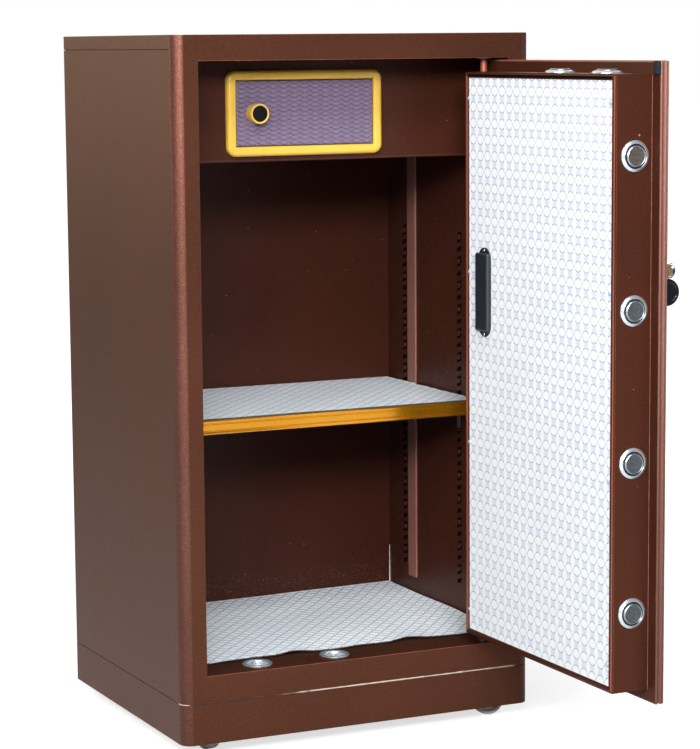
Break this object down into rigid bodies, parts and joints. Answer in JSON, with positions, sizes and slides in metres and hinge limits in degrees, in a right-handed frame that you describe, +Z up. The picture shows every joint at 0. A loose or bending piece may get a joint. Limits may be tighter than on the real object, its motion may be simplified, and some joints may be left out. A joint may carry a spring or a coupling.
{
  "type": "fireproof safe",
  "caption": "Upright double-walled steel safe on casters, with an inset bolted door, an inner locker and a mat-lined shelf.",
  "frame": {"origin": "on the floor under the middle of the safe's body, where its casters stand", "axes": "+X to the right seen from the front, +Y to the back, +Z up; the door is drawn open at 90 degrees"},
  "size_m": [0.571, 0.8815, 1.022],
  "materials": {
    "body_paint": "satin, lightly hammered",
    "inner_paint": "satin",
    "fire_cement": "matte cast insulating filling",
    "patterned_board": "satin printed face",
    "patterned_mat": "soft printed sheet",
    "amber_trim": "gold anodised",
    "yellow_frame": "gloss",
    "violet_panel": "satin, embossed",
    "black_plastic": "satin moulded",
    "keypad_glass": "polished",
    "chrome": "polished",
    "bright_steel": "ground",
    "zinc_steel": "zinc plated",
    "gold_metal": "polished",
    "nylon": "satin"
  },
  "bodies": {
    "body": {"front_frame": "body_paint", "body_wrap": "body_paint", "top_cover": "body_paint", "plinth": "body_paint", "base_plate": "inner_paint", "fire_filling": "fire_cement", "inner_side_left": "inner_paint", "inner_side_right": "inner_paint", "inner_back": "inner_paint", "inner_floor": "inner_paint", "wall_strips": "inner_paint", "shelf_clips": "zinc_steel", "shelf": "inner_paint", "shelf_trim": "amber_trim", "shelf_mat": "patterned_mat", "floor_mat": "patterned_mat", "bolt_cups": "chrome", "hinge_bushes": "chrome", "locker_front": "inner_paint", "locker_floor": "inner_paint", "locker_frame": "yellow_frame", "caster_plates": "zinc_steel"},
    "door": {"door_skin": "body_paint", "door_fire_board": "fire_cement", "door_rear_sheet": "body_paint", "door_case": "body_paint", "door_liner": "patterned_board", "liner_clips": "zinc_steel", "battery_base": "black_plastic", "battery_cover": "black_plastic", "bolt_flanges": "chrome", "hinge_brackets": "body_paint", "hinge_pins": "bright_steel", "lock_panel": "black_plastic", "keypad": "keypad_glass", "key_cylinder": "chrome", "lock_case": "black_plastic"},
    "handle": {"spindle": "bright_steel", "handle_lever": "gold_metal", "cam_disc": "zinc_steel"},
    "door_key": {"key_plug": "gold_metal", "key": "black_plastic"},
    "bolts_side": {"side_bolts": "chrome", "side_bolt_bar": "zinc_steel"},
    "bolts_top": {"top_bolts": "chrome", "top_bolt_bar": "zinc_steel"},
    "bolts_bottom": {"bottom_bolts": "chrome", "bottom_bolt_bar": "zinc_steel"},
    "locker_door": {"locker_panel": "violet_panel", "locker_collar": "yellow_frame"},
    "locker_turn": {"locker_knob": "black_plastic", "locker_cam": "zinc_steel"},
    "fork_front_right": {"caster_fork_front_right": "zinc_steel"},
    "wheel_front_right": {"caster_wheel_front_right": "nylon"},
    "fork_front_left": {"caster_fork_front_left": "zinc_steel"},
    "wheel_front_left": {"caster_wheel_front_left": "nylon"},
    "fork_back_right": {"caster_fork_back_right": "zinc_steel"},
    "wheel_back_right": {"caster_wheel_back_right": "nylon"},
    "fork_back_left": {"caster_fork_back_left": "zinc_steel"},
    "wheel_back_left": {"caster_wheel_back_left": "nylon"}
  },
  "joints": [
    {"name": "door_swing", "type": "hinge", "parent": "body", "child": "door", "pos_m": [0.216, -0.2, 0.55], "axis": [0, 0, -1], "range_deg": [0, 90]},
    {"name": "handle_turn", "type": "hinge", "parent": "door", "child": "handle", "pos_m": [0.2715, -0.545, 0.705], "axis": [-1, 0, 0], "range_deg": [0, 70]},
    {"name": "side_bolts_slide", "type": "slide", "parent": "door", "child": "bolts_side", "axis": [0, -1, 0], "range_m": [0, 0.0241]},
    {"name": "top_bolts_slide", "type": "slide", "parent": "door", "child": "bolts_top", "axis": [0, 0, 1], "range_m": [0, 0.0241]},
    {"name": "bottom_bolts_slide", "type": "slide", "parent": "door", "child": "bolts_bottom", "axis": [0, 0, -1], "range_m": [0, 0.0241]},
    {"name": "key_turn", "type": "hinge", "parent": "door", "child": "door_key", "pos_m": [0.251, -0.605, 0.6745], "axis": [-1, 0, 0], "range_deg": [0, 90]},
    {"name": "locker_door_swing", "type": "hinge", "parent": "body", "child": "locker_door", "pos_m": [0.0645, -0.1295, 0.91], "axis": [0, 0, -1], "range_deg": [-100, 0]},
    {"name": "locker_knob_turn", "type": "hinge", "parent": "locker_door", "child": "locker_turn", "pos_m": [-0.1174, -0.14, 0.91], "axis": [0, -1, 0], "range_deg": [0, 90]},
    {"name": "caster_swivel_front_right", "type": "hinge", "parent": "body", "child": "fork_front_right", "pos_m": [0.219, -0.181, 0.06], "axis": [0, 0, 1], "continuous": true},
    {"name": "caster_roll_front_right", "type": "hinge", "parent": "fork_front_right", "child": "wheel_front_right", "pos_m": [0.232, -0.181, 0.025], "axis": [0, 1, 0], "continuous": true},
    {"name": "caster_swivel_front_left", "type": "hinge", "parent": "body", "child": "fork_front_left", "pos_m": [-0.219, -0.181, 0.06], "axis": [0, 0, 1], "continuous": true},
    {"name": "caster_roll_front_left", "type": "hinge", "parent": "fork_front_left", "child": "wheel_front_left", "pos_m": [-0.22126, -0.1682, 0.025], "axis": [-0.9848, -0.1736, 0], "continuous": true},
    {"name": "caster_swivel_back_right", "type": "hinge", "parent": "body", "child": "fork_back_right", "pos_m": [0.219, 0.181, 0.06], "axis": [0, 0, 1], "continuous": true},
    {"name": "caster_roll_back_right", "type": "hinge", "parent": "fork_back_right", "child": "wheel_back_right", "pos_m": [0.22126, 0.1938, 0.025], "axis": [-0.9848, 0.1736, 0], "continuous": true},
    {"name": "caster_swivel_back_left", "type": "hinge", "parent": "body", "child": "fork_back_left", "pos_m": [-0.219, 0.181, 0.06], "axis": [0, 0, 1], "continuous": true},
    {"name": "caster_roll_back_left", "type": "hinge", "parent": "fork_back_left", "child": "wheel_back_left", "pos_m": [-0.22736, 0.19096, 0.025], "axis": [-0.766, -0.6428, 0], "continuous": true}
  ],
  "couplings": [
    {"joint": "side_bolts_slide", "follows": "handle_turn", "m_per_rad": 0.019644},
    {"joint": "top_bolts_slide", "follows": "handle_turn", "m_per_rad": 0.019644},
    {"joint": "bottom_bolts_slide", "follows": "handle_turn", "m_per_rad": 0.019644}
  ]
}
